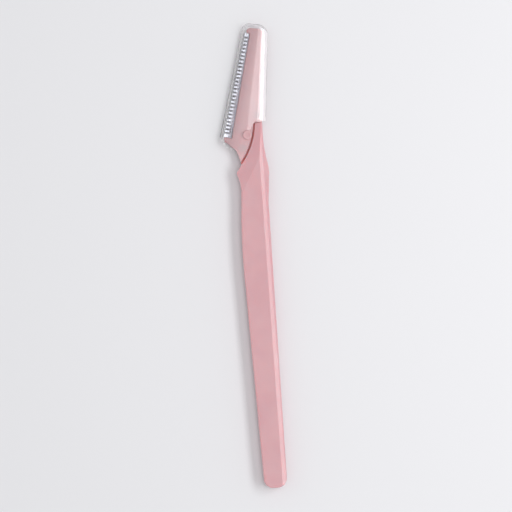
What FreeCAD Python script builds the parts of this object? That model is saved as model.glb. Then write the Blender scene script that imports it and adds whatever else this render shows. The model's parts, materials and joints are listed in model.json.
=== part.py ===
import FreeCAD, Part
import math
import os
from types import SimpleNamespace

import Sketcher

# The razor lies on its back. +Z is up from the flat back to the front, +Y runs along the spine of the
# handle to the head, the blade is on the -X side and the spine on the +X side. The origin is on the flat
# back, in the middle of the handle, at the level of the finger stop.
# The head has a frame of its own, turned on the handle: across is measured from the fold of the guard
# comb towards the spine, and along from the heel of the blade to its tip.

# Driving dimensions in millimetres, with angles in degrees
SIZES = {
    # Handle, seen from the front
    "handle_thick": 5.0,
    "grip_length": 101.0,
    "neck_length": 16.0,
    "neck_left": 1.85,
    "neck_right": 4.15,
    "step_bend_across": 1.15,
    "step_bend_along": 9.46,
    "step_round": 23.0,
    "stop_reach": 5.2,
    "stop_rise": 0.4,
    "stop_round": 0.8,
    "waist_reach": 3.9,
    "waist_drop": 3.4,
    "waist_round": 14.0,
    "belly_reach": 5.3,
    "belly_drop": 22.0,
    "belly_round": 200.0,
    "butt_left": 3.4,
    "butt_right": 3.9,
    "butt_round": 3.0,
    "spine_reach": 4.4,
    "spine_drop": 9.0,
    "spine_round": 60.0,
    "swell_reach": 5.35,
    "swell_rise": 0.8,
    "swell_round": 14.0,
    "shoulder_reach": 4.0,
    "shoulder_rise": 9.0,
    "shoulder_round": 40.0,
    "handle_edge_round": 0.5,
    # Bevels that run down both sides of the spine
    "crest_inner": 2.5,
    "crest_outer": 3.6,
    "crest_drop": 0.45,
    "flank_outer": 5.6,
    "spine_land": 0.4,
    # Thumb facet that falls from a crease on the front to the step of the head
    "facet_across": 1.17,
    "facet_along": 2.73,
    "facet_turn": 29.5,
    "facet_reach": 12.0,
    "facet_drop": 1.6,
    # Head: place, turn and thickness
    "head_across": 8.5,
    "head_along": 12.5,
    "head_turn": 15.6,
    "head_thick": 2.4,
    "head_chamfer": 0.25,
    # Head outline, in the head's own frame
    "heel_across": 0.15,
    "heel_round": 0.5,
    "nub_across": 0.6,
    "nub_drop": 1.4,
    "nub_round": 0.6,
    "heel_bend_across": 4.9,
    "heel_bend_drop": 3.6,
    "heel_bend_round": 4.0,
    "root_low_across": 8.6,
    "root_low_drop": 9.5,
    "root_high_across": 12.2,
    "root_high_drop": 4.0,
    "spine_base_across": 11.56,
    "spine_base_rise": 4.5,
    "nose_across": 5.7,
    "nose_rise": 2.4,
    "nose_round": 2.2,
    "brow_across": 0.5,
    "brow_rise": 1.7,
    "brow_round": 1.1,
    "brow_foot_round": 0.5,
    "bare_tip": 1.7,
    "bare_heel": 2.7,
    "bare_corner_round": 0.4,
    # Bevels that run up both sides of the head's spine, from the end of the neck to the nose
    "bevel_start_gap": 0.2,
    "bevel_tip_width": 0.7,
    "bevel_slope": 17.0,
    # Gap between the head cover and the step of the handle
    "step_gap_across": 0.5,
    "step_gap_along": 0.25,
    # Blade
    "blade_length": 34.0,
    "blade_thick": 0.25,
    "strip_width": 4.4,
    "grind_width": 0.95,
    "edge_gap": 0.05,
    # Guard comb
    "guard_thick": 0.15,
    "fold_round": 0.22,
    "slot_pitch": 1.2,
    "slot_width": 0.62,
    "slot_depth": 1.7,
    "end_land": 0.6,
    # Pins that pass through the blade and pegs that carry the head cover
    "pin_diameter": 1.0,
    "pin_inset": 1.0,
    "pin_grip": 0.55,
    "peg_diameter": 1.8,
    "peg_root_across": 6.7,
    "peg_root_drop": 2.4,
    "peg_spine_inset": 2.6,
    "peg_spine_rise": 9.0,
    "hole_clearance": 0.1,
    "seat_gap": 0.05,
    # Stud on the head cover that the rim of the cap fits round
    "stud_across": 7.4,
    "stud_along": 2.0,
    "stud_diameter": 2.8,
    "stud_height": 0.85,
    "stud_round": 0.25,
    "dimple_diameter": 1.5,
    "dimple_depth": 0.3,
    # Cap
    "cap_wall": 0.85,
    "cap_side_gap": 0.3,
    "cap_face_gap": 0.25,
    "cap_tip_gap": 0.5,
    "cap_edge_round": 1.1,
    "crown_round": 60.0,
    "crown_slope": 8.0,
    "rim_side_drop": 0.3,
    "rim_side_round": 0.6,
    "rim_heel_across": 1.0,
    "rim_heel_drop": 2.9,
    "rim_heel_round": 1.5,
    "rim_low_across": 4.9,
    "rim_low_drop": 4.3,
    "rim_low_round": 0.8,
    "rim_top_across": 9.1,
    "rim_top_rise": 7.3,
    "rim_top_round": 1.2,
    "rim_spine_rise": 8.1,
    "notch_gap": 0.3,
    "rib_across": 5.2,
    "rib_width": 0.5,
    "rib_start": 9.0,
    "rib_length": 20.0,
    "rib_gap": 0.05,
    # How far every cut runs past the solid that it cuts
    "overrun": 5.0,
}

# Places of the pins along the blade, as shares of its length
PIN_SHARES = (0.12, 0.5, 0.88)

# Rounding of the notch in the cap, as a share of half its width
NOTCH_ROUND_SHARE = 0.88

# How closely an edge that counts as lying at a level keeps to it
LEVEL_TOLERANCE = Part.Precision.confusion() * 100


class Size:
    """A named size, or a sum of them: its expression on the sheet and its value."""

    def __init__(self, text, value):
        self.text = text
        self.value = value

    def __add__(self, other):
        return Size(f"({self.text} + {other.text})", self.value + other.value)

    def __sub__(self, other):
        return Size(f"({self.text} - {other.text})", self.value - other.value)

    def __neg__(self):
        return Size(f"(0 - {self.text})", -self.value)

    def __mul__(self, other):
        if isinstance(other, Size):
            return Size(f"({self.text} * {other.text})", self.value * other.value)
        return Size(f"({self.text} * {other})", self.value * other)

    def __truediv__(self, other):
        if isinstance(other, Size):
            return Size(f"({self.text} / {other.text})", self.value / other.value)
        return Size(f"({self.text} / {other})", self.value / other)

    def sin(self):
        """The sine of an angle in degrees."""
        return Size(f"sin({self.text})", math.sin(math.radians(self.value)))

    def cos(self):
        """The cosine of an angle in degrees."""
        return Size(f"cos({self.text})", math.cos(math.radians(self.value)))

    def tan(self):
        """The tangent of an angle in degrees."""
        return Size(f"tan({self.text})", math.tan(math.radians(self.value)))

    def angle(self):
        """The angle in degrees that has this tangent."""
        return Size(f"(atan({self.text}) / 1 deg)", math.degrees(math.atan(self.value)))


doc = FreeCAD.newDocument("eyebrow_razor")
sheet = doc.addObject("Spreadsheet::Sheet", "sizes")
for row, (alias, value) in enumerate(SIZES.items(), start=1):
    sheet.set(f"A{row}", alias)
    sheet.set(f"B{row}", str(value))
    sheet.setAlias(f"B{row}", alias)
doc.recompute()

size = SimpleNamespace(**{alias: Size(f"sizes.{alias}", value) for alias, value in SIZES.items()})
ZERO = Size("0", 0.0)

# Levels, measured up from the flat back
middle = size.handle_thick / 2
pack_thick = size.blade_thick + size.guard_thick * 2
pack_floor = middle - pack_thick / 2
split = middle + pack_thick / 2
head_back = middle - size.head_thick / 2
head_front = middle + size.head_thick / 2
cap_back_inside = head_back - size.cap_face_gap
cap_front_inside = head_front + size.cap_face_gap
cap_back = cap_back_inside - size.cap_wall
cap_front = cap_front_inside + size.cap_wall

# Lines that several pieces share, in the frame of the head
tip_along = size.blade_length + size.nose_rise
pin_across = size.strip_width - size.pin_inset
pin_hole = size.pin_diameter + size.hole_clearance
peg_hole = size.peg_diameter + size.hole_clearance
peg_spine_across = size.spine_base_across - size.peg_spine_inset
cap_shell = size.cap_side_gap + size.cap_wall
flank_drop = (size.handle_thick - size.spine_land) / 2

# The crease of the head's bevels starts in line with the handle's, just past the neck
crease_across = size.crest_inner
crease_along = size.neck_length + size.step_gap_along + size.bevel_start_gap
from_head_across = crease_across + size.head_across
from_head_along = crease_along - size.head_along
base_across = from_head_across * size.head_turn.cos() - from_head_along * size.head_turn.sin()
base_along = from_head_across * size.head_turn.sin() + from_head_along * size.head_turn.cos()
tip_across = size.nose_across - size.bevel_tip_width
crease_turn = ((base_across - tip_across) / (tip_along - base_along)).angle()


def bind(item, name, amount):
    """Tie a property of an object to the sheet."""
    item.setExpression(name, amount.text)


def origin_part(body, role):
    """Find a plane or an axis of a body's own origin."""
    return next(part for part in body.Origin.OriginFeatures if part.Role == role)


def turn_to_head(item, name, height=ZERO):
    """Put a body or a sketch in the frame of the head."""
    across, along = -size.head_across, size.head_along
    place = FreeCAD.Vector(across.value, along.value, height.value)
    turn = FreeCAD.Rotation(FreeCAD.Vector(0, 0, -1), size.head_turn.value)
    setattr(item, name, FreeCAD.Placement(place, turn))
    bind(item, f"{name}.Base.x", across)
    bind(item, f"{name}.Base.y", along)
    bind(item, f"{name}.Base.z", height)
    bind(item, f"{name}.Rotation.Angle", size.head_turn)


def new_body(name):
    """Start a piece of the razor."""
    body = doc.addObject("PartDesign::Body", name)
    body.Label = name
    return body


def new_sketch(body, name, role="XY_Plane", height=None):
    """Start a sketch on an origin plane of a body, or at a height above it."""
    sketch = body.newObject("Sketcher::SketchObject", name)
    sketch.AttachmentSupport = [(origin_part(body, role), "")]
    sketch.MapMode = "FlatFace"
    if height:
        bind(sketch, "AttachmentOffset.Base.z", height)
    return sketch


def constrain(sketch, rules):
    """Add constraints to a sketch, and tie those that have a size to the sheet."""
    places = sketch.addConstraint([rule for rule, _ in rules])
    for place, (_, amount) in zip(places, rules):
        if amount:
            bind(sketch, f"Constraints[{place}]", amount)


def pin_point(geometry, end, across, along):
    """Fix a point of a sketch at its distances from the origin."""
    return [
        (Sketcher.Constraint("DistanceX", -1, 1, geometry, end, across.value), across),
        (Sketcher.Constraint("DistanceY", -1, 1, geometry, end, along.value), along),
    ]


def draw_outline(sketch, corners):
    """Draw straight runs from corner to corner, and round each corner that has a radius."""
    count = len(corners)
    spots = [FreeCAD.Vector(across.value, along.value, 0) for across, along, _ in corners]
    arrivals, leavings, arcs = [], [], []
    for number, (_, _, radius) in enumerate(corners):
        spot = spots[number]
        back = (spots[number - 1] - spot).normalize()
        ahead = (spots[(number + 1) % count] - spot).normalize()
        if not radius:
            arrivals.append(spot)
            leavings.append(spot)
            arcs.append(None)
            continue
        half = back.getAngle(ahead) / 2
        arrival = spot + back * (radius.value / math.tan(half))
        leaving = spot + ahead * (radius.value / math.tan(half))
        centre = spot + (back + ahead).normalize() * (radius.value / math.sin(half))
        leftward = ahead.cross(back).z > 0
        first, last = (arrival, leaving) if leftward else (leaving, arrival)
        angles = [math.atan2(end.y - centre.y, end.x - centre.x) for end in (first, last)]
        circle = Part.Circle(centre, FreeCAD.Vector(0, 0, 1), radius.value)
        arrivals.append(arrival)
        leavings.append(leaving)
        arcs.append((Part.ArcOfCircle(circle, *angles), (1, 2) if leftward else (2, 1)))
    runs = [
        sketch.addGeometry(Part.LineSegment(leavings[number], arrivals[(number + 1) % count]), False)
        for number in range(count)
    ]
    rules = []
    for number, (across, along, radius) in enumerate(corners):
        before, after = runs[number - 1], runs[number]
        if not radius:
            rules.append((Sketcher.Constraint("Coincident", before, 2, after, 1), None))
            rules += pin_point(after, 1, across, along)
            continue
        curve, (start, end) = arcs[number]
        arc = sketch.addGeometry(curve, False)
        corner = sketch.addGeometry(Part.Point(spots[number]), True)
        rules += pin_point(corner, 1, across, along)
        rules += [
            (Sketcher.Constraint("PointOnObject", corner, 1, before), None),
            (Sketcher.Constraint("PointOnObject", corner, 1, after), None),
            (Sketcher.Constraint("Tangent", before, 2, arc, start), None),
            (Sketcher.Constraint("Tangent", arc, end, after, 1), None),
            (Sketcher.Constraint("Radius", arc, radius.value), radius),
        ]
    constrain(sketch, rules)


def draw_circle(sketch, across, along, diameter):
    """Draw a circle about a point."""
    centre = FreeCAD.Vector(across.value, along.value, 0)
    circle = Part.Circle(centre, FreeCAD.Vector(0, 0, 1), diameter.value / 2)
    ring = sketch.addGeometry(circle, False)
    rules = pin_point(ring, 3, across, along)
    rules.append((Sketcher.Constraint("Diameter", ring, diameter.value), diameter))
    constrain(sketch, rules)


def draw_box(sketch, left, right, low, high):
    """Draw a plain rectangle between two distances across and two along."""
    draw_outline(sketch, [(left, low, None), (right, low, None), (right, high, None), (left, high, None)])


def add_pad(body, name, sketch, length, reverse=False):
    """Raise a sketch by a length."""
    pad = body.newObject("PartDesign::Pad", name)
    pad.Profile = sketch
    pad.Reversed = reverse
    bind(pad, "Length", length)
    doc.recompute()
    return pad


def add_pocket(body, name, sketch, length=None, reverse=False):
    """Cut a sketch into a body by a length, or both ways right through, and see that it cut something."""
    before = body.Shape.Volume
    pocket = body.newObject("PartDesign::Pocket", name)
    pocket.Profile = sketch
    pocket.Reversed = reverse
    if length:
        bind(pocket, "Length", length)
    else:
        pocket.SideType = "Symmetric"
        pocket.Type = "ThroughAll"
    doc.recompute()
    if not body.Shape.Volume < before:
        raise RuntimeError(f"{name} cuts nothing")
    return pocket


def edges_at(body, height):
    """List the edges of a body that lie at one level."""
    names = []
    for number, edge in enumerate(body.Shape.Edges, start=1):
        box = edge.BoundBox
        off_level = max(abs(box.ZMin - height.value), abs(box.ZMax - height.value))
        if off_level < LEVEL_TOLERANCE:
            names.append(f"Edge{number}")
    return names


def ease_edges(body, kind, name, edges, amount):
    """Round some edges of a body by a radius, or chamfer them by a width."""
    easing = body.newObject(f"PartDesign::{kind}", name)
    easing.Base = (body.Tip if easing.BaseFeature is None else easing.BaseFeature, list(edges))
    bind(easing, "Radius" if kind == "Fillet" else "Size", amount)
    doc.recompute()
    if "Invalid" in easing.State:
        raise RuntimeError(f"{name} can't be eased")
    return easing


def stand_sketch(sketch, across, along, turn):
    """Stand a sketch upright on a line: through a point, and turned from the long axis of its body."""
    place = FreeCAD.Vector(across.value, 0, -along.value)
    sketch.AttachmentOffset = FreeCAD.Placement(place, FreeCAD.Rotation(FreeCAD.Vector(0, -1, 0), turn.value))
    bind(sketch, "AttachmentOffset.Base.x", across)
    bind(sketch, "AttachmentOffset.Base.z", -along)
    bind(sketch, "AttachmentOffset.Rotation.Angle", turn)


def cut_bevels(body, name, stand_off, length=None):
    """Cut both bevels of the spine, a distance out from those of the head."""
    sketch = new_sketch(body, f"{name}_outline", "XZ_Plane")
    if body.Placement.isIdentity():
        stand_sketch(sketch, crease_across, crease_along, size.head_turn - crease_turn)
    else:
        stand_sketch(sketch, base_across, base_along, -crease_turn)
    front, back = head_front + stand_off, head_back - stand_off
    start = stand_off * (size.bevel_slope / 2).tan()
    drop = (front - back - size.spine_land) / 2
    end = start + drop / size.bevel_slope.tan()
    draw_outline(sketch, [
        (start, front, None),
        (end, front - drop, None),
        (end + size.overrun, front - drop, None),
        (end + size.overrun, front + size.overrun, None),
        (start, front + size.overrun, None),
    ])
    draw_outline(sketch, [
        (start, back, None),
        (start, back - size.overrun, None),
        (end + size.overrun, back - size.overrun, None),
        (end + size.overrun, back + drop, None),
        (end, back + drop, None),
    ])
    add_pocket(body, name, sketch, length)


def draw_head(sketch):
    """Draw the outline of the head, which the back of the head and its cover share."""
    shelf = size.blade_length + size.seat_gap
    draw_outline(sketch, [
        (size.heel_across, -size.seat_gap, size.heel_round),
        (size.nub_across, -size.nub_drop, size.nub_round),
        (size.heel_bend_across, -size.heel_bend_drop, size.heel_bend_round),
        (size.root_low_across, -size.root_low_drop, None),
        (size.root_high_across, -size.root_high_drop, None),
        (size.spine_base_across, size.spine_base_rise, None),
        (size.nose_across, tip_along, size.nose_round),
        (size.brow_across, size.blade_length + size.brow_rise, size.brow_round),
        (size.brow_across, shelf, size.brow_foot_round),
        (size.bare_tip, shelf, size.bare_corner_round),
        (size.bare_heel, -size.seat_gap, size.bare_corner_round),
    ])


def draw_pins(sketch, pin, peg=None):
    """Draw the row of pins through the blade, and the pegs beside it."""
    for share in PIN_SHARES:
        draw_circle(sketch, pin_across, size.blade_length * share, pin)
    if peg:
        draw_circle(sketch, size.peg_root_across, -size.peg_root_drop, peg)
        draw_circle(sketch, peg_spine_across, size.peg_spine_rise, peg)


def make_handle():
    """The handle, moulded in one with the finger stop, the neck, the back of the head and its pins."""
    body = new_body("handle")

    # The neck is drawn too long with a round end, and cut off square once its edges are rounded
    lean_left = (size.neck_left - size.step_bend_across) / (size.neck_length - size.step_bend_along)
    lean_right = (size.neck_right - size.shoulder_reach) / (size.neck_length - size.shoulder_rise)
    far_end = size.neck_length + size.overrun
    far_round = (size.neck_right - size.neck_left) / 3
    outline = new_sketch(body, "handle_outline")
    draw_outline(outline, [
        (size.neck_left + lean_left * size.overrun, far_end, far_round),
        (size.step_bend_across, size.step_bend_along, size.step_round),
        (-size.stop_reach, size.stop_rise, size.stop_round),
        (-size.waist_reach, -size.waist_drop, size.waist_round),
        (-size.belly_reach, -size.belly_drop, size.belly_round),
        (-size.butt_left, -size.grip_length, size.butt_round),
        (size.butt_right, -size.grip_length, size.butt_round),
        (size.spine_reach, -size.spine_drop, size.spine_round),
        (size.swell_reach, size.swell_rise, size.swell_round),
        (size.shoulder_reach, size.shoulder_rise, size.shoulder_round),
        (size.neck_right + lean_right * size.overrun, far_end, far_round),
    ])
    add_pad(body, "grip", outline, size.handle_thick)
    rims = edges_at(body, ZERO) + edges_at(body, size.handle_thick)
    ease_edges(body, "Fillet", "grip_edges", rims, size.handle_edge_round)
    end = new_sketch(body, "neck_end")
    draw_box(end, -size.overrun, size.neck_right + size.overrun, size.neck_length, far_end + size.overrun)
    add_pocket(body, "neck_end_cut", end)

    # Two bevels on each side of the spine: a narrow crest and a steeper flank
    bevels = new_sketch(body, "spine_bevels", "XZ_Plane")
    outer = size.flank_outer + size.overrun
    draw_outline(bevels, [
        (size.crest_inner, size.handle_thick, None),
        (size.crest_outer, size.handle_thick - size.crest_drop, None),
        (size.flank_outer, size.handle_thick - flank_drop, None),
        (outer, size.handle_thick - flank_drop, None),
        (outer, size.handle_thick + size.overrun, None),
        (size.crest_inner, size.handle_thick + size.overrun, None),
    ])
    draw_outline(bevels, [
        (size.crest_inner, ZERO, None),
        (size.crest_inner, -size.overrun, None),
        (outer, -size.overrun, None),
        (outer, flank_drop, None),
        (size.flank_outer, flank_drop, None),
        (size.crest_outer, size.crest_drop, None),
    ])
    add_pocket(body, "spine_bevel_cut", bevels)

    # The facet under the thumb, cut square to its crease
    facet = new_sketch(body, "thumb_facet", "XZ_Plane")
    stand_sketch(facet, size.facet_across, size.facet_along, size.facet_turn)
    draw_outline(facet, [
        (ZERO, size.handle_thick, None),
        (ZERO, size.handle_thick + size.overrun, None),
        (-size.facet_reach, size.handle_thick + size.overrun, None),
        (-size.facet_reach, size.handle_thick - size.facet_drop, None),
    ])
    add_pocket(body, "thumb_facet_cut", facet)

    # The back of the head, with the seat for the blade and the pins that hold it
    grip = body.Shape
    head = new_sketch(body, "head_back_outline")
    turn_to_head(head, "AttachmentOffset", head_back)
    draw_head(head)
    add_pad(body, "head_back", head, split - head_back)

    def on_head(name):
        edge = body.Shape.getElement(name)
        middle_of_edge = edge.valueAt((edge.FirstParameter + edge.LastParameter) / 2)
        return grip.distToShape(Part.Vertex(middle_of_edge))[0] > size.seat_gap.value

    rims = filter(on_head, edges_at(body, head_back))
    ease_edges(body, "Chamfer", "head_back_edges", rims, size.head_chamfer)
    cut_bevels(body, "head_back_bevel", ZERO, tip_along + size.overrun)

    seat = new_sketch(body, "blade_seat")
    turn_to_head(seat, "AttachmentOffset", split)
    seat_end = size.blade_length + size.seat_gap
    draw_box(seat, -size.overrun, size.strip_width + size.seat_gap, -size.seat_gap, seat_end)
    add_pocket(body, "blade_seat_cut", seat, pack_thick)

    pins = new_sketch(body, "pin_row")
    turn_to_head(pins, "AttachmentOffset", pack_floor)
    draw_pins(pins, size.pin_diameter)
    add_pad(body, "pins", pins, pack_thick + size.pin_grip)
    pegs = new_sketch(body, "peg_pair")
    turn_to_head(pegs, "AttachmentOffset", split)
    draw_circle(pegs, size.peg_root_across, -size.peg_root_drop, size.peg_diameter)
    draw_circle(pegs, peg_spine_across, size.peg_spine_rise, size.peg_diameter)
    add_pad(body, "pegs", pegs, size.pin_grip)
    return body


def make_cover():
    """The front of the head, pressed over the pins, with the stud for the cap."""
    body = new_body("head_cover")

    floor = split + size.seat_gap
    outline = new_sketch(body, "cover_outline")
    turn_to_head(outline, "AttachmentOffset", floor)
    draw_head(outline)
    add_pad(body, "cover", outline, head_front - floor)

    # The end at the neck follows the step of the handle, a shadow gap away
    shadow = new_sketch(body, "shadow_gap")
    right = size.neck_right + size.overrun
    low = -size.waist_drop - size.overrun
    left = -size.stop_reach - size.step_gap_across
    bend_across = size.step_bend_across - size.step_gap_across
    draw_outline(shadow, [
        (right, size.neck_length + size.step_gap_along, None),
        (size.neck_left - size.step_gap_across, size.neck_length + size.step_gap_along, size.step_gap_across),
        (bend_across, size.step_bend_along + size.step_gap_along, size.step_round),
        (left, size.stop_rise + size.step_gap_along, None),
        (left, low, None),
        (right, low, None),
    ])
    add_pocket(body, "shadow_gap_cut", shadow)
    ease_edges(body, "Chamfer", "cover_edges", edges_at(body, head_front), size.head_chamfer)
    cut_bevels(body, "cover_bevel", ZERO)

    holes = new_sketch(body, "pin_holes")
    turn_to_head(holes, "AttachmentOffset", floor)
    draw_pins(holes, pin_hole, peg_hole)
    add_pocket(body, "pin_holes_cut", holes, size.pin_grip + size.hole_clearance, reverse=True)

    stud = new_sketch(body, "stud_outline")
    turn_to_head(stud, "AttachmentOffset", head_front)
    draw_circle(stud, size.stud_across, size.stud_along, size.stud_diameter)
    add_pad(body, "stud", stud, size.stud_height)
    ease_edges(body, "Fillet", "stud_edge", edges_at(body, head_front + size.stud_height), size.stud_round)
    dimple = new_sketch(body, "stud_dimple")
    turn_to_head(dimple, "AttachmentOffset", head_front + size.stud_height)
    draw_circle(dimple, size.stud_across, size.stud_along, size.dimple_diameter)
    add_pocket(body, "stud_dimple_cut", dimple, size.dimple_depth)
    return body


def make_blade():
    """The blade: a strip of steel ground to an edge on both sides, with a hole for each pin."""
    body = new_body("blade")
    turn_to_head(body, "Placement")

    section = new_sketch(body, "blade_section", "XZ_Plane")
    edge = size.guard_thick + size.edge_gap
    shoulder = edge + size.grind_width
    front, back = middle + size.blade_thick / 2, middle - size.blade_thick / 2
    draw_outline(section, [
        (edge, middle, None),
        (shoulder, back, None),
        (size.strip_width, back, None),
        (size.strip_width, front, None),
        (shoulder, front, None),
    ])
    add_pad(body, "strip", section, size.blade_length, reverse=True)
    holes = new_sketch(body, "blade_holes", height=middle)
    draw_pins(holes, pin_hole)
    add_pocket(body, "blade_holes_cut", holes)
    return body


def make_guard():
    """The guard: thin sheet folded over the cutting edge and slotted into a comb."""
    body = new_body("guard_comb")
    turn_to_head(body, "Placement")

    section = new_sketch(body, "guard_section", "XZ_Plane")
    inner_front, inner_back = middle + size.blade_thick / 2, middle - size.blade_thick / 2
    draw_outline(section, [
        (size.strip_width, split, None),
        (ZERO, split, size.fold_round),
        (ZERO, pack_floor, size.fold_round),
        (size.strip_width, pack_floor, None),
        (size.strip_width, inner_back, None),
        (size.guard_thick, inner_back, None),
        (size.guard_thick, inner_front, None),
        (size.strip_width, inner_front, None),
    ])
    add_pad(body, "folded_sheet", section, size.blade_length, reverse=True)
    holes = new_sketch(body, "guard_holes", height=middle)
    draw_pins(holes, pin_hole)
    add_pocket(body, "guard_holes_cut", holes)

    # One slot through both sides of the fold, repeated along the edge
    steps = f"floor(({size.blade_length.text} - 2 * {size.end_land.text}) / {size.slot_pitch.text})"
    room = size.blade_length.value - 2 * size.end_land.value
    first = Size(
        f"({size.blade_length.text} - ({steps} - 1) * {size.slot_pitch.text}) / 2",
        (size.blade_length.value - (room // size.slot_pitch.value - 1) * size.slot_pitch.value) / 2,
    )
    low, high = first - size.slot_width / 2, first + size.slot_width / 2
    slot = new_sketch(body, "slot_outline", height=middle)
    draw_outline(slot, [
        (-size.overrun, low, None),
        (size.slot_depth, low, None),
        (size.slot_depth, high, None),
        (-size.overrun, high, None),
    ])
    cut = add_pocket(body, "slot", slot)
    comb = body.newObject("PartDesign::LinearPattern", "comb")
    comb.Originals = [cut]
    comb.Direction = (origin_part(body, "Y_Axis"), [""])
    comb.Mode = "Spacing"
    bind(comb, "Offset", size.slot_pitch)
    comb.setExpression("Occurrences", steps)
    body.Tip = comb
    doc.recompute()
    return body


def draw_cap(sketch, grow, low):
    """Draw the cap's outline, which stands clear of the blade, the spine and the tip by one distance."""
    slant = (size.spine_base_across - size.nose_across) / (tip_along - size.spine_base_rise)
    reach = slant * (size.spine_base_rise - low)
    top = tip_along + size.cap_tip_gap + grow - size.cap_side_gap
    left_top = top - size.nose_rise + size.brow_rise
    draw_outline(sketch, [
        (-grow, low, None),
        (size.spine_base_across + reach + grow, low, None),
        (size.nose_across + grow, top, size.nose_round + grow),
        (-grow, left_top, size.brow_round + grow),
    ])


def make_cap_inside():
    """The room inside the cap: the head with a gap all round, and a groove down each face for a rib."""
    body = new_body("cap_inside")
    turn_to_head(body, "Placement")
    low = -size.rim_low_drop - size.overrun * 2

    room = new_sketch(body, "room_outline", height=cap_back_inside)
    draw_cap(room, size.cap_side_gap, low)
    add_pad(body, "room", room, cap_front_inside - cap_back_inside)
    cut_bevels(body, "room_bevel", size.cap_face_gap)

    depth = size.cap_face_gap - size.rib_gap
    left, right = size.rib_across - size.rib_width / 2, size.rib_across + size.rib_width / 2
    for name, height in (("groove_back", cap_back_inside + depth), ("groove_front", cap_front_inside)):
        groove = new_sketch(body, f"{name}_outline", height=height)
        draw_box(groove, left, right, size.rib_start, size.rib_start + size.rib_length)
        add_pocket(body, name, groove, depth)
    return body


def make_cap():
    """The clear cap: a thin shell over the head, crowned and bevelled, and open along a slanting rim."""
    body = new_body("cap_outside")
    turn_to_head(body, "Placement")

    low = -size.rim_low_drop - size.overrun
    block = new_sketch(body, "block_outline", height=cap_back)
    draw_cap(block, cap_shell, low)
    add_pad(body, "block", block, cap_front - cap_back)
    rims = edges_at(body, cap_back) + edges_at(body, cap_front)
    ease_edges(body, "Fillet", "cap_edges", rims, size.cap_edge_round)

    # Front and back are crowned about a line halfway between the comb and the crease
    crown = new_sketch(body, "crown_outline", "XZ_Plane")
    crown_turn = ((base_across - tip_across) / 2 / (tip_along - base_along)).angle()
    stand_sketch(crown, base_across / 2, base_along, -crown_turn)
    reach = base_across + size.overrun
    peak = size.crown_round / size.crown_slope.cos() - size.crown_round
    fall = reach * size.crown_slope.tan() - peak
    draw_outline(crown, [
        (-reach, cap_front - fall, None),
        (ZERO, cap_front + peak, size.crown_round),
        (reach, cap_front - fall, None),
        (reach, cap_front + size.overrun, None),
        (-reach, cap_front + size.overrun, None),
    ])
    draw_outline(crown, [
        (-reach, cap_back + fall, None),
        (-reach, cap_back - size.overrun, None),
        (reach, cap_back - size.overrun, None),
        (reach, cap_back + fall, None),
        (ZERO, cap_back - peak, size.crown_round),
    ])
    add_pocket(body, "crown_cut", crown)
    cut_bevels(body, "cap_bevel", size.cap_face_gap + size.cap_wall)

    # The slanting rim, and the notch in the front wall that fits round the stud
    rim = new_sketch(body, "rim_outline", height=middle)
    far_left = -cap_shell - size.overrun
    far_right = size.spine_base_across + cap_shell + size.overrun
    far_low = low - size.overrun
    draw_outline(rim, [
        (far_left, far_low, None),
        (far_right, far_low, None),
        (far_right, size.rim_spine_rise, None),
        (size.rim_top_across, size.rim_top_rise, size.rim_top_round),
        (size.rim_low_across, -size.rim_low_drop, size.rim_low_round),
        (size.rim_heel_across, -size.rim_heel_drop, size.rim_heel_round),
        (-cap_shell, -size.rim_side_drop, size.rim_side_round),
        (far_left, -size.rim_side_drop, None),
    ])
    add_pocket(body, "rim_cut", rim)
    notch = new_sketch(body, "notch_outline", height=middle)
    reach = size.stud_diameter / 2 + size.notch_gap
    notch_round = reach * NOTCH_ROUND_SHARE
    draw_outline(notch, [
        (size.stud_across - reach, far_low, None),
        (size.stud_across + reach, far_low, None),
        (size.stud_across + reach, size.stud_along + reach, notch_round),
        (size.stud_across - reach, size.stud_along + reach, notch_round),
    ])
    add_pocket(body, "notch_cut", notch, size.handle_thick, reverse=True)

    cap = doc.addObject("Part::Cut", "cap")
    cap.Base = body
    cap.Tool = make_cap_inside()
    doc.recompute()
    return cap


pieces = [make_handle(), make_cover(), make_blade(), make_guard(), make_cap()]
doc.recompute()

for item in doc.Objects:
    if "Invalid" in item.State or "Error" in item.State:
        raise RuntimeError(f"{item.Name} did not build: {item.State}")
for piece in pieces:
    shape = piece.Shape
    if shape.isNull() or not shape.isValid() or len(shape.Solids) != 1:
        raise RuntimeError(f"{piece.Label} is not one sound solid")

os.makedirs("parts", exist_ok=True)
for piece in pieces:
    piece.Shape.exportStep(os.path.join("parts", f"{piece.Label}.step"))
    box = piece.Shape.BoundBox
    print(f"{piece.Label}: {piece.Shape.Volume:.1f} mm3, x {box.XMin:.2f} to {box.XMax:.2f},"
          f" y {box.YMin:.2f} to {box.YMax:.2f}, z {box.ZMin:.2f} to {box.ZMax:.2f}")
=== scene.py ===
"""Looks of an eyebrow razor: pink moulded grip and head, steel blade in its guard comb, and clear cap."""

from __future__ import annotations

import json
import logging
import math
from dataclasses import dataclass
from enum import Enum
from typing import Any

import bpy
from mathutils import Matrix, Vector


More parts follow.
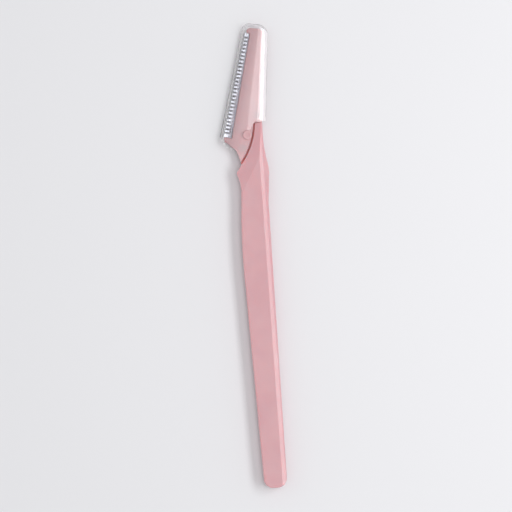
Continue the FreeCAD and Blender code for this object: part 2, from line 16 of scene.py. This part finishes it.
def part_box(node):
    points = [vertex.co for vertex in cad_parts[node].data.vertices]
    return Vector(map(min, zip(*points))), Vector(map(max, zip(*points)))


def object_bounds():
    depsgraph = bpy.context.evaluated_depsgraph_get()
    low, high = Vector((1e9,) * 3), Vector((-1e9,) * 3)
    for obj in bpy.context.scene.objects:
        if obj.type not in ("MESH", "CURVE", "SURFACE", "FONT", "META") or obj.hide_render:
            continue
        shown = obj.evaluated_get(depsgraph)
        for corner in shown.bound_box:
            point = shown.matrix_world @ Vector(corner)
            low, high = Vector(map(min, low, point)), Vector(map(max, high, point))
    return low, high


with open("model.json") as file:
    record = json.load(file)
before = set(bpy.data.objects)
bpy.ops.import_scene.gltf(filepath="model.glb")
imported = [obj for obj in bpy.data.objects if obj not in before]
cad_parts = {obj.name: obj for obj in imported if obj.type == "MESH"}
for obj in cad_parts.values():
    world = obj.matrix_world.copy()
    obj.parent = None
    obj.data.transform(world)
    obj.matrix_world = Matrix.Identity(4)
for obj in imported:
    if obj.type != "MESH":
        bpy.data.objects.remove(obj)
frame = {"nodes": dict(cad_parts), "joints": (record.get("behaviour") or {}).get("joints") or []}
cad_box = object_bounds()

log = logging.getLogger("eyebrow_razor")

MILLIMETRE = 0.001

# Soft noise seldom leaves this range, so a change from one tone to another is spread over it
NOISE_LOW = 0.3
NOISE_HIGH = 0.7

Colour = tuple[float, float, float, float]
Point = tuple[float, float, float]
Socket = bpy.types.NodeSocket


def screen_colour(red: int, green: int, blue: int) -> Colour:
    """Turn a colour as a screen shows it into the linear colour that a shader takes.

    Args:
        red: Red, from 0 to 255.
        green: Green, from 0 to 255.
        blue: Blue, from 0 to 255.

    Returns:
        The linear colour, with full alpha.
    """

    def linear(level: int) -> float:
        """Undo the standard curve of screens for one channel."""
        share = level / 255
        return share / 12.92 if share <= 0.04045 else ((share + 0.055) / 1.055) ** 2.4

    return linear(red), linear(green), linear(blue), 1.0


class Effect(Enum):
    """Surface effects that several finishes share, each one a shader node group."""

    MOULDED_SKIN = "moulded skin"
    RUB_MARKS = "rub marks"
    DRAWN_LINES = "drawn lines"
    LEVEL_LINE = "level line"


class Bench:
    """Lays out the nodes of one tree and wires them together."""

    # A Mix node keeps its sockets for colours at these places
    MIX_SHARE = 0
    MIX_FIRST = 6
    MIX_SECOND = 7
    MIX_RESULT = 2

    def __init__(self, tree: bpy.types.NodeTree) -> None:
        """Take the tree to work on."""
        self.tree = tree

    def feed(self, value: Any, socket: Socket) -> None:
        """Give an input a plain value, or link it to another node's output.

        Args:
            value: The value or output.
            socket: The input.
        """
        if isinstance(value, Socket):
            self.tree.links.new(value, socket)
        else:
            socket.default_value = value

    def add(self, kind: str, inputs: dict[str | int, Any] | None = None, **settings: Any) -> bpy.types.Node:
        """Add a node.

        Args:
            kind: Blender's name for the kind of node.
            inputs: A value or another node's output for each input, by its name or place.
            settings: Properties of the node.

        Returns:
            The new node.
        """
        node = self.tree.nodes.new(kind)
        for name, value in settings.items():
            setattr(node, name, value)
        for name, value in (inputs or {}).items():
            self.feed(value, node.inputs[name])
        return node

    def sum(self, operation: str, *terms: Any) -> Socket:
        """Work out a sum of values.

        Args:
            operation: Blender's name for the kind of sum.
            terms: Values or outputs of other nodes.

        Returns:
            The result's socket.
        """
        return self.add("ShaderNodeMath", dict(enumerate(terms)), operation=operation).outputs[0]

    def part(self, vector: Socket, axis: str) -> Socket:
        """Take one part of a vector, by the name of its axis."""
        return self.add("ShaderNodeSeparateXYZ", {0: vector}).outputs[axis]

    def scaled(self, vector: Socket, x: Any, y: Any, z: Any) -> Socket:
        """Stretch a vector.

        Args:
            vector: The vector.
            x: The factor across.
            y: The factor along.
            z: The factor upwards.

        Returns:
            The stretched vector's socket.
        """
        factors = self.add("ShaderNodeCombineXYZ", {0: x, 1: y, 2: z}).outputs[0]
        return self.add("ShaderNodeVectorMath", {0: vector, 1: factors}, operation="MULTIPLY").outputs[0]

    def noise(self, vector: Socket, scale: Any, layers: float) -> Socket:
        """Add soft noise.

        Args:
            vector: Where on the surface.
            scale: How many features go to a metre.
            layers: How many finer layers it has.

        Returns:
            The noise's level, from 0 to 1.
        """
        inputs = {"Vector": vector, "Scale": scale, "Detail": layers}
        return self.add("ShaderNodeTexNoise", inputs).outputs["Fac"]

    def ramp(self, value: Socket, start: Any, end: Any, low: Any = 0.0, high: Any = 1.0) -> Socket:
        """Move a value smoothly from one range to another.

        Args:
            value: The value to move.
            start: The value that gives low.
            end: The value that gives high.
            low: The result at start and before it.
            high: The result at end and after it.

        Returns:
            The result's socket.
        """
        inputs = {"Value": value, "From Min": start, "From Max": end, "To Min": low, "To Max": high}
        return self.add("ShaderNodeMapRange", inputs, interpolation_type="SMOOTHSTEP").outputs["Result"]

    def tint(self, share: Any, first: Any, second: Any) -> Socket:
        """Mix two colours.

        Args:
            share: How much of the second colour there is.
            first: A colour, or another node's output.
            second: A colour, or another node's output.

        Returns:
            The mixed colour's socket.
        """
        inputs = {self.MIX_SHARE: share, self.MIX_FIRST: first, self.MIX_SECOND: second}
        return self.add("ShaderNodeMix", inputs, data_type="RGBA").outputs[self.MIX_RESULT]

    def bump(
        self,
        height: Socket,
        depth: float,
        strength: float = 1.0,
        inner: Socket | None = None,
    ) -> Socket:
        """Make a surface look raised.

        Args:
            height: The height, from 0 to 1.
            depth: How far a height of 1 stands up.
            strength: How much of it is used.
            inner: The normal of another bump that this one goes on top of.

        Returns:
            The normal's socket.
        """
        inputs = {"Height": height, "Distance": depth, "Strength": strength}
        if inner is not None:
            inputs["Normal"] = inner
        return self.add("ShaderNodeBump", inputs).outputs[0]


class EffectShelf:
    """Builds each shared effect once, and hands it out to the finishes that use it."""

    # Finer layers in smooth, soft and fine noise
    SMOOTH = 1.0
    SOFT = 2.0
    FINE = 3.0

    # Hairlines lie where noise is near its middle, at two small turns, and show in patches only
    NOISE_MIDDLE = 0.5
    MARK_TURNS = (0.12, -0.2)
    MARK_WIDTH = 0.012
    PATCH_START = 0.5
    PATCH_END = 0.7

    # The tone of drawn lines changes more slowly than their height
    TONE_SCALE = 0.35
    HEIGHT_SCALE = 1.0

    def __init__(self) -> None:
        """Build every effect."""
        makers = {
            Effect.MOULDED_SKIN: self.make_moulded_skin,
            Effect.RUB_MARKS: self.make_rub_marks,
            Effect.DRAWN_LINES: self.make_drawn_lines,
            Effect.LEVEL_LINE: self.make_level_line,
        }
        self.groups = {effect: maker(effect.value) for effect, maker in makers.items()}

    @staticmethod
    def new_group(name: str, inputs: tuple[str, ...], outputs: tuple[str, ...]) -> tuple[Bench, Any, Any]:
        """Start a node group that takes a place on the surface and some values.

        Args:
            name: The group's name.
            inputs: Names of the values that it takes, after the place.
            outputs: Names of the values that it gives.

        Returns:
            The bench for its nodes, its inputs and its outputs.
        """
        group = bpy.data.node_groups.new(name, "ShaderNodeTree")
        group.interface.new_socket("Place", in_out="INPUT", socket_type="NodeSocketVector")
        for label in inputs:
            group.interface.new_socket(label, in_out="INPUT", socket_type="NodeSocketFloat")
        for label in outputs:
            group.interface.new_socket(label, in_out="OUTPUT", socket_type="NodeSocketFloat")
        bench = Bench(group)
        given = bench.add("NodeGroupInput").outputs
        wanted = bench.add("NodeGroupOutput").inputs
        return bench, given, wanted

    def make_moulded_skin(self, name: str) -> bpy.types.NodeTree:
        """Make the skin of moulded plastic: slow clouds of colour, a fine grain and patches of gloss.

        Args:
            name: The group's name.

        Returns:
            The group.
        """
        patterns = (
            ("Clouds", "Cloud", self.SOFT),
            ("Grains", "Grain", self.FINE),
            ("Patches", "Gloss", self.SOFT),
        )
        scales, levels, _ = zip(*patterns)
        bench, given, wanted = self.new_group(name, scales, levels)
        for scale, level, layers in patterns:
            bench.feed(bench.noise(given["Place"], given[scale], layers), wanted[level])
        return bench.tree

    def make_rub_marks(self, name: str) -> bpy.types.NodeTree:
        """Make the faint hairlines that a piece gets when it slides in and out of its pack.

        Args:
            name: The group's name.

        Returns:
            The group.
        """
        bench, given, wanted = self.new_group(name, ("Marks", "Length"), ("Mark",))
        marks = []
        for turn in self.MARK_TURNS:
            inputs = {"Vector": given["Place"], "Angle": turn}
            turned = bench.add("ShaderNodeVectorRotate", inputs, rotation_type="Z_AXIS").outputs[0]
            drawn = bench.scaled(turned, given["Length"], 1.0, given["Length"])
            level = bench.noise(drawn, given["Marks"], self.SMOOTH)
            off_line = bench.sum("ABSOLUTE", bench.sum("SUBTRACT", level, self.NOISE_MIDDLE))
            line = bench.ramp(off_line, 0.0, self.MARK_WIDTH, 1.0, 0.0)
            spread = bench.noise(turned, given["Marks"], self.SMOOTH)
            patch = bench.ramp(spread, self.PATCH_START, self.PATCH_END)
            marks.append(bench.sum("MULTIPLY", line, patch))
        bench.feed(bench.sum("MAXIMUM", *marks), wanted["Mark"])
        return bench.tree

    def make_drawn_lines(self, name: str) -> bpy.types.NodeTree:
        """Make lines along a piece: fine ones from rolling and grinding on steel, slow waves on plastic.

        Args:
            name: The group's name.

        Returns:
            The group.
        """
        bench, given, wanted = self.new_group(name, ("Lines", "Length"), ("Tone", "Height"))
        along = bench.sum("DIVIDE", given["Lines"], given["Length"])
        drawn = bench.scaled(given["Place"], given["Lines"], along, given["Lines"])
        bench.feed(bench.noise(drawn, self.TONE_SCALE, self.SOFT), wanted["Tone"])
        bench.feed(bench.noise(drawn, self.HEIGHT_SCALE, self.FINE), wanted["Height"])
        return bench.tree

    def make_level_line(self, name: str) -> bpy.types.NodeTree:
        """Make a fine line round a piece at one level, such as where the two halves of a mould met.

        Args:
            name: The group's name.

        Returns:
            The group.
        """
        bench, given, wanted = self.new_group(name, ("Level", "Width"), ("Line",))
        height = bench.part(given["Place"], "Z")
        off_line = bench.sum("ABSOLUTE", bench.sum("SUBTRACT", height, given["Level"]))
        bench.feed(bench.ramp(off_line, 0.0, given["Width"], 1.0, 0.0), wanted["Line"])
        return bench.tree

    def place(self, bench: Bench, effect: Effect, place: Socket, **values: float) -> Any:
        """Put an effect into a material.

        Args:
            bench: The material's bench.
            effect: The effect.
            place: Where on the surface.
            values: The effect's own values.

        Returns:
            The effect's outputs.
        """
        inputs = {"Place": place, **values}
        return bench.add("ShaderNodeGroup", inputs, node_tree=self.groups[effect]).outputs


@dataclass(frozen=True)
class HeadFrame:
    """The frame of the head: across from the fold of the comb, and along from the heel to the tip."""

    turn: float
    heel: Vector

    @classmethod
    def from_frame(cls) -> HeadFrame:
        """Read the head's turn from the line that the cap slides on, and its heel from the comb.

        Returns:
            The frame of the head.
        """
        across, along, _ = frame["joints"][0]["axis"]
        turn = math.atan2(across, along)
        spin = Matrix.Rotation(turn, 3, "Z")
        corners = [spin @ vertex.co for vertex in frame["nodes"]["guard_comb"].data.vertices]
        heel = Vector((min(c.x for c in corners), min(c.y for c in corners), 0.0))
        return cls(turn, heel)

    def place(self, bench: Bench) -> Socket:
        """Give a material its place in the frame of the head.

        Args:
            bench: The material's bench.

        Returns:
            The place's socket.
        """
        ours = bench.add("ShaderNodeTexCoord").outputs["Object"]
        inputs = {"Vector": ours, "Location": -self.heel, "Rotation": (0.0, 0.0, self.turn)}
        return bench.add("ShaderNodeMapping", inputs).outputs[0]


@dataclass(frozen=True)
class Seam:
    """The gap between the neck and the cover: the level of its floor, and its start along the razor."""

    level: float
    start: float

    @classmethod
    def from_frame(cls) -> Seam:
        """Read the gap from the underside of the cover, which sits just above its floor."""
        low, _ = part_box("head_cover")
        return cls(low.z, low.y)


@dataclass(frozen=True)
class Finish:
    """A finish. One that goes on a piece is named after the piece's slot in the record."""

    name: str

    def begin(self) -> tuple[bpy.types.Material, Bench, bpy.types.Node]:
        """Start the material.

        Returns:
            The material, the bench for its nodes and its output node.
        """
        material = bpy.data.materials.new(self.name)
        material.use_nodes = True
        material.node_tree.nodes.clear()
        bench = Bench(material.node_tree)
        return material, bench, bench.add("ShaderNodeOutputMaterial")

    def put_on(self, name: str, material: bpy.types.Material) -> dict[str, str]:
        """Give a piece the material in every slot.

        Args:
            name: The piece's name.
            material: The material.

        Returns:
            The finish's name, under the piece's name.
        """
        piece = frame["nodes"][name]
        if not piece.material_slots:
            piece.data.materials.append(material)
        for place in piece.material_slots:
            place.material = material
        return {name: self.name}


@dataclass(frozen=True)
class PinkPlastic(Finish):
    """Pink plastic with the skin of a polished mould, which light sinks into a little."""

    body: Colour
    deep: Colour
    roughness: float
    ior: float = 1.49
    sink: float = 0.5
    sink_depth: float = 2.2 * MILLIMETRE
    sink_radius: Point = (1.0, 0.35, 0.32)
    clouds: float = 90.0
    grains: float = 5200.0
    grain_depth: float = 0.004 * MILLIMETRE
    grain_strength: float = 0.5
    patches: float = 140.0
    gloss_spread: float = 0.025
    marks: float = 45.0
    mark_length: float = 50.0
    mark_dullness: float = 0.06
    parting_width: float = 0.08 * MILLIMETRE
    parting_rise: float = 0.03 * MILLIMETRE
    # Painted shade: the floor of the gap at the neck is tinted a deeper red
    gap_shade_colour: Colour = screen_colour(245, 144, 140)
    seam_depth: float = 0.3 * MILLIMETRE
    seam_fade: float = 1.0 * MILLIMETRE
    upward_start: float = 0.7
    upward_end: float = 0.9
    # Painted shade: the cover darkens towards the comb
    comb_shade_colour: Colour = screen_colour(190, 152, 156)
    comb_shade_start: float = 1.8 * MILLIMETRE
    comb_shade_end: float = 6.5 * MILLIMETRE

    def make(
        self,
        effects: EffectShelf,
        parting_level: float,
        seam: Seam | None = None,
        head: HeadFrame | None = None,
    ) -> bpy.types.Material:
        """Make the material.

        Args:
            effects: The shared effects.
            parting_level: Where the halves of the mould met, as a height.
            seam: The gap that the piece is the floor of, if it is one; a redder colour is painted on its
                floor as shade.
            head: The frame of the head, if the piece lies over the blade; the piece is then painted darker
                towards the comb as shade.

        Returns:
            The material.
        """
        material, bench, end = self.begin()
        place = bench.add("ShaderNodeTexCoord").outputs["Object"]
        skin = effects.place(
            bench, Effect.MOULDED_SKIN, place, Clouds=self.clouds, Grains=self.grains, Patches=self.patches
        )
        rubs = effects.place(bench, Effect.RUB_MARKS, place, Marks=self.marks, Length=self.mark_length)
        parting = effects.place(
            bench, Effect.LEVEL_LINE, place, Level=parting_level, Width=self.parting_width
        )
        colour = bench.tint(bench.ramp(skin["Cloud"], NOISE_LOW, NOISE_HIGH), self.body, self.deep)
        # Painted shade on the floor of the gap between the neck and the cover
        if seam:
            colour = bench.tint(self.painted_gap_shade(bench, effects, seam), colour, self.gap_shade_colour)
        # Painted shade, darkest near the comb and fading out towards the spine
        if head:
            across = bench.part(head.place(bench), "X")
            comb_shade = bench.ramp(across, self.comb_shade_start, self.comb_shade_end, 1.0, 0.0)
            colour = bench.tint(comb_shade, colour, self.comb_shade_colour)
        low = self.roughness - self.gloss_spread
        high = self.roughness + self.gloss_spread
        gloss = bench.ramp(skin["Gloss"], NOISE_LOW, NOISE_HIGH, low, high)
        rubbed = bench.sum("MULTIPLY", rubs["Mark"], self.mark_dullness)
        grain = bench.bump(skin["Grain"], self.grain_depth, self.grain_strength)
        shader = bench.add(
            "ShaderNodeBsdfPrincipled",
            {
                "Base Color": colour,
                "Roughness": bench.sum("ADD", gloss, rubbed),
                "IOR": self.ior,
                "Subsurface Weight": self.sink,
                "Subsurface Radius": self.sink_radius,
                "Subsurface Scale": self.sink_depth,
                "Normal": bench.bump(parting["Line"], self.parting_rise, inner=grain),
            },
        )
        bench.feed(shader.outputs[0], end.inputs["Surface"])
        return material

    def painted_gap_shade(self, bench: Bench, effects: EffectShelf, seam: Seam) -> Socket:
        """Find the floor of a gap, where a redder colour is painted as the shade that falls in the gap.

        Args:
            bench: The material's bench.
            effects: The shared effects.
            seam: The gap.

        Returns:
            A mask that is 1 on the floor.
        """
        place = bench.add("ShaderNodeTexCoord").outputs
        level = effects.place(
            bench, Effect.LEVEL_LINE, place["Object"], Level=seam.level, Width=self.seam_depth
        )
        on_head = bench.ramp(bench.part(place["Object"], "Y"), seam.start - self.seam_fade, seam.start)
        upward = bench.ramp(bench.part(place["Normal"], "Z"), self.upward_start, self.upward_end)
        return bench.sum("MULTIPLY", level["Line"], bench.sum("MULTIPLY", on_head, upward))


@dataclass(frozen=True)
class ClearPlastic(Finish):
    """Clear plastic with slow waves from the mould and a few hairlines."""

    tint: Colour
    shade: Colour
    roughness: float = 0.04
    ior: float = 1.5
    waves: float = 150.0
    wave_length: float = 5.0
    wave_depth: float = 0.015 * MILLIMETRE
    marks: float = 60.0
    mark_length: float = 40.0
    mark_dullness: float = 0.1
    most_bounces: float = 4.5

    def make(self, effects: EffectShelf, head: HeadFrame) -> bpy.types.Material:
        """Make the material.

        Args:
            effects: The shared effects.
            head: The frame that the waves run along.

        Returns:
            The material.
        """
        material, bench, end = self.begin()
        place = head.place(bench)
        wave = effects.place(bench, Effect.DRAWN_LINES, place, Lines=self.waves, Length=self.wave_length)
        rubs = effects.place(bench, Effect.RUB_MARKS, place, Marks=self.marks, Length=self.mark_length)
        rubbed = bench.sum("MULTIPLY", rubs["Mark"], self.mark_dullness)
        clear = bench.add(
            "ShaderNodeBsdfPrincipled",
            {
                "Base Color": self.tint,
                "Roughness": bench.sum("ADD", rubbed, self.roughness),
                "IOR": self.ior,
                "Transmission Weight": 1.0,
                "Normal": bench.bump(wave["Tone"], self.wave_depth),
            },
        )
        # Lamps light what the cap covers, and light that is caught in its wall goes on
        passing = bench.add("ShaderNodeBsdfTransparent", {"Color": self.shade})
        rays = bench.add("ShaderNodeLightPath").outputs
        from_lamps = bench.sum("MAXIMUM", rays["Is Shadow Ray"], rays["Is Diffuse Ray"])
        caught = bench.sum("GREATER_THAN", rays["Ray Depth"], self.most_bounces)
        share = bench.sum("MAXIMUM", from_lamps, caught)
        mixed = bench.add("ShaderNodeMixShader", {0: share, 1: clear.outputs[0], 2: passing.outputs[0]})
        bench.feed(mixed.outputs[0], end.inputs["Surface"])
        return material


@dataclass(frozen=True)
class Steel(Finish):
    """Stainless steel with the lines of its rolling or grinding."""

    light: Colour
    dark: Colour
    roughness: float
    lines: float
    line_length: float
    line_depth: float
    line_strength: float = 0.6
    gloss_start: float = 0.25
    gloss_end: float = 0.75
    gloss_drop: float = 0.06
    gloss_rise: float = 0.08
    marks: float = 90.0
    mark_length: float = 40.0
    mark_dullness: float = 0.1

    def make(self, effects: EffectShelf, head: HeadFrame) -> bpy.types.Material:
        """Make the material.

        Args:
            effects: The shared effects.
            head: The frame that the lines run along.

        Returns:
            The material.
        """
        material, bench, end = self.begin()
        place = head.place(bench)
        drawn = effects.place(bench, Effect.DRAWN_LINES, place, Lines=self.lines, Length=self.line_length)
        rubs = effects.place(bench, Effect.RUB_MARKS, place, Marks=self.marks, Length=self.mark_length)
        low = self.roughness - self.gloss_drop
        high = self.roughness + self.gloss_rise
        gloss = bench.ramp(drawn["Height"], self.gloss_start, self.gloss_end, low, high)
        rubbed = bench.sum("MULTIPLY", rubs["Mark"], self.mark_dullness)
        shader = bench.add(
            "ShaderNodeBsdfPrincipled",
            {
                "Base Color": self.colour(bench, drawn["Tone"], place),
                "Metallic": 1.0,
                "Roughness": bench.sum("ADD", gloss, rubbed),
                "Normal": bench.bump(drawn["Height"], self.line_depth, self.line_strength),
            },
        )
        bench.feed(shader.outputs[0], end.inputs["Surface"])
        return material

    def colour(self, bench: Bench, tone: Socket, place: Socket) -> Socket:
        """Give the steel its colour, which changes from line to line but not from place to place."""
        return bench.tint(bench.ramp(tone, NOISE_LOW, NOISE_HIGH), self.light, self.dark)


@dataclass(frozen=True)
class CombSteel(Steel):
    """Steel of the guard comb, bright on the teeth and painted darker at their roots as shade beside the
    cover.
    """

    # Painted shade at the roots of the teeth, beside the edge of the cover
    root_shade: Colour = screen_colour(138, 134, 141)
    root_shade_start: float = 1.1 * MILLIMETRE
    root_shade_end: float = 1.8 * MILLIMETRE

    def colour(self, bench: Bench, tone: Socket, place: Socket) -> Socket:
        """Give the teeth the colour of bright steel, and fade it to a darker one at their roots, as painted
        shade.

        Args:
            bench: The material's bench.
            tone: How the colour changes from line to line.
            place: Where on the surface, in the frame of the head.

        Returns:
            The colour's socket.
        """
        bright = super().colour(bench, tone, place)
        shaded_root = bench.ramp(bench.part(place, "X"), self.root_shade_start, self.root_shade_end)
        return bench.tint(shaded_root, bright, self.root_shade)


@dataclass(frozen=True)
class PaleFloor(Finish):
    """A matt, pale floor."""

    colour: Colour
    roughness: float = 0.7
    shine: float = 0.2

    def make(self) -> bpy.types.Material:
        """Make the material.

        Returns:
            The material.
        """
        material, bench, end = self.begin()
        inputs = {"Base Color": self.colour, "Roughness": self.roughness, "Specular IOR Level": self.shine}
        shader = bench.add("ShaderNodeBsdfPrincipled", inputs)
        bench.feed(shader.outputs[0], end.inputs["Surface"])
        return material


@dataclass
class Grip:
    """The handle, with its finger stop, its neck and the back of the head."""

    plastic: PinkPlastic = PinkPlastic(
        "handle_plastic",
        body=screen_colour(215, 170, 175),
        deep=screen_colour(211, 164, 170),
        roughness=0.23,
    )

    def dress(self, effects: EffectShelf, seam: Seam) -> dict[str, str]:
        """Give the handle its finish.

        Args:
            effects: The shared effects.
            seam: The gap between the neck and the cover, whose floor is painted redder as shade.

        Returns:
            The name of the finish, under the piece's name.
        """
        low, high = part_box("handle")
        middle = (low.z + high.z) / 2
        return self.plastic.put_on("handle", self.plastic.make(effects, middle, seam))


@dataclass
class Head:
    """The front of the head, the blade and its guard comb."""

    # The grip's same plastic, painted paler and less pink here as the sheen of the clear cap over the head
    plastic: PinkPlastic = PinkPlastic(
        "cover_plastic",
        body=screen_colour(218, 181, 184),
        deep=screen_colour(214, 174, 178),
        roughness=0.25,
    )
    blade_steel: Steel = Steel(
        "blade_steel",
        light=screen_colour(152, 148, 154),
        dark=screen_colour(130, 127, 133),
        roughness=0.24,
        lines=9000.0,
        line_length=30.0,
        line_depth=0.004 * MILLIMETRE,
    )
    guard_steel: CombSteel = CombSteel(
        "guard_steel",
        light=screen_colour(200, 201, 208),
        dark=screen_colour(178, 179, 187),
        roughness=0.20,
        lines=7000.0,
        line_length=40.0,
        line_depth=0.001 * MILLIMETRE,
    )

    def dress(self, effects: EffectShelf, head: HeadFrame, seam: Seam) -> dict[str, str]:
        """Give the cover, the blade and the comb their finishes.

        Args:
            effects: The shared effects.
            head: The frame of the head.
            seam: The gap between the neck and the cover.

        Returns:
            The names of the finishes, under the pieces' names.
        """
        return {
            **self.plastic.put_on("head_cover", self.plastic.make(effects, seam.level, head=head)),
            **self.blade_steel.put_on("blade", self.blade_steel.make(effects, head)),
            **self.guard_steel.put_on("guard_comb", self.guard_steel.make(effects, head)),
        }


@dataclass
class Cap:
    """The clear cap over the head."""

    plastic: ClearPlastic = ClearPlastic(
        "clear_plastic", tint=screen_colour(253, 253, 254), shade=screen_colour(252, 252, 252)
    )

    def dress(self, effects: EffectShelf, head: HeadFrame) -> dict[str, str]:
        """Give the cap its finish, and return the finish's name under the piece's name."""
        return self.plastic.put_on("cap", self.plastic.make(effects, head))


@dataclass(frozen=True)
class SoftBox:
    """A white studio lamp with a flat, even face, whose length lies along the razor."""

    name: str
    place: Point
    width: float
    length: float
    power: float

    def build(self, target: Vector) -> None:
        """Hang the lamp and turn it to the razor.

        Args:
            target: The point that it faces.
        """
        lamp = bpy.data.lights.new(self.name, "AREA")
        lamp.shape = "RECTANGLE"
        lamp.size = self.width
        lamp.size_y = self.length
        lamp.energy = self.power
        holder = bpy.data.objects.new(self.name, lamp)
        holder.location = target + Vector(self.place)
        away = (holder.location - target).normalized()
        across = Vector((0.0, 1.0, 0.0)).cross(away).normalized()
        holder.rotation_euler = Matrix((across, away.cross(across), away)).transposed().to_euler()
        bpy.context.scene.collection.objects.link(holder)


@dataclass
class Studio:
    """The floor, the lamps, the room and the camera."""

    floor: PaleFloor = PaleFloor("pale_floor", screen_colour(232, 232, 235))
    floor_side: float = 4.0
    walls: float = 0.85
    ceiling: float = 0.42
    camera_height: float = 1.0
    sensor_width: float = 36.0
    picture_width: float = 0.164
    lean: float = math.radians(4.1)
    lamps: tuple[SoftBox, ...] = (
        SoftBox("overhead", place=(0.155, 0.0, 0.90), width=0.20, length=0.6, power=1.3),
        SoftBox("spine_strip", place=(0.38, 0.0, 0.46), width=0.17, length=0.5, power=1.5),
        SoftBox("fill", place=(-0.50, 0.1, 0.60), width=0.6, length=0.6, power=0.4),
    )

    def build(self) -> None:
        """Set the stage."""
        low, high = cad_box
        centre = (low + high) / 2
        self.lay_floor(low.z)
        for lamp in self.lamps:
            lamp.build(centre)
        self.light_room()
        self.place_camera(Vector((centre.x, centre.y, high.z)))
        bpy.context.scene.view_settings.view_transform = "Standard"

    def lay_floor(self, level: float) -> None:
        """Lay the floor.

        Args:
            level: The height of the floor.
        """
        half = self.floor_side / 2
        corners = [(-half, -half, level), (half, -half, level), (half, half, level), (-half, half, level)]
        mesh = bpy.data.meshes.new("floor")
        mesh.from_pydata(corners, [], [(0, 1, 2, 3)])
        mesh.materials.append(self.floor.make())
        floor = bpy.data.objects.new("floor", mesh)
        bpy.context.scene.collection.objects.link(floor)

    def light_room(self) -> None:
        """Light the room softly in white, with walls that are brighter than the ceiling."""
        world = bpy.data.worlds.new("studio")
        world.use_nodes = True
        bpy.context.scene.world = world
        bench = Bench(world.node_tree)
        way = bench.add("ShaderNodeTexCoord").outputs["Generated"]
        room = world.node_tree.nodes["Background"].inputs
        bench.feed((1.0, 1.0, 1.0, 1.0), room["Color"])
        bench.feed(bench.ramp(bench.part(way, "Z"), 0.0, 1.0, self.walls, self.ceiling), room["Strength"])

    def place_camera(self, target: Vector) -> None:
        """Hang the camera straight above the razor, turned so that it leans as in the photograph.

        Args:
            target: The point that the camera hangs above.
        """
        lens = bpy.data.cameras.new("camera")
        lens.sensor_width = self.sensor_width
        lens.lens = self.sensor_width * self.camera_height / self.picture_width
        camera = bpy.data.objects.new("camera", lens)
        camera.location = target + Vector((0.0, 0.0, self.camera_height))
        camera.rotation_euler = (0.0, 0.0, -self.lean)
        bpy.context.scene.collection.objects.link(camera)
        bpy.context.scene.camera = camera


def main() -> None:
    """Dress every piece, report it and set the stage."""
    logging.basicConfig(level=logging.INFO, format="%(name)s: %(message)s")
    effects = EffectShelf()
    head = HeadFrame.from_frame()
    seam = Seam.from_frame()
    dressed = {
        **Grip().dress(effects, seam),
        **Head().dress(effects, head, seam),
        **Cap().dress(effects, head),
    }
    for piece, finish in dressed.items():
        log.info("%s: %s", piece, finish)
    Studio().build()


if __name__ == "__main__":
    main()
